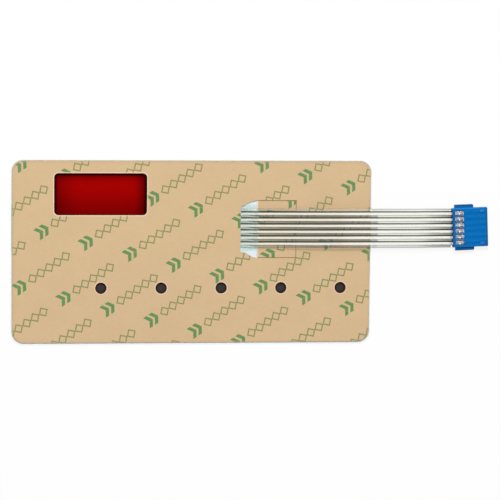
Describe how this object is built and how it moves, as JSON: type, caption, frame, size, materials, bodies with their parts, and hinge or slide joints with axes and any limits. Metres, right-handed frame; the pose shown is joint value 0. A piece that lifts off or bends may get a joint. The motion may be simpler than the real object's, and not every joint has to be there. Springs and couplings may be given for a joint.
{
  "type": "membrane keypad",
  "caption": "Flat membrane keypad with a tinted display window, a row of indicator holes, a paper-lined adhesive back and a film tail that ends in a crimped socket connector.",
  "frame": {"origin": "centre of the overlay's front face, which lies down", "axes": "+X along the width towards the connector, +Y across it towards the display window, +Z out of the adhesive back"},
  "size_m": [0.2026, 0.0776, 0.0032],
  "materials": {
    "overlay": "fine matt",
    "red_filter": "clear red",
    "adhesive": "soft clear",
    "clear_film": "clear",
    "white_film": "satin",
    "dome_steel": "satin",
    "silver": "printed, satin",
    "kraft_liner": "calendered",
    "blue_plastic": "moulded",
    "tin_contact": "bright tin"
  },
  "bodies": {
    "root": {"graphic_overlay": "overlay", "display_filter": "red_filter", "overlay_adhesive": "adhesive", "dome_retainer": "clear_film", "dome_spacer": "white_film", "lower_circuit": "clear_film", "silver_conductors": "silver", "rear_adhesive": "adhesive", "release_liner": "kraft_liner", "patch_adhesive": "adhesive", "patch_liner": "kraft_liner", "connector_housing": "blue_plastic", "snap_dome_1": "dome_steel", "snap_dome_2": "dome_steel", "snap_dome_3": "dome_steel", "snap_dome_4": "dome_steel", "snap_dome_5": "dome_steel", "crimp_contact_1": "tin_contact", "crimp_contact_2": "tin_contact", "crimp_contact_3": "tin_contact", "crimp_contact_4": "tin_contact", "crimp_contact_5": "tin_contact", "crimp_contact_6": "tin_contact"}
  },
  "joints": []
}
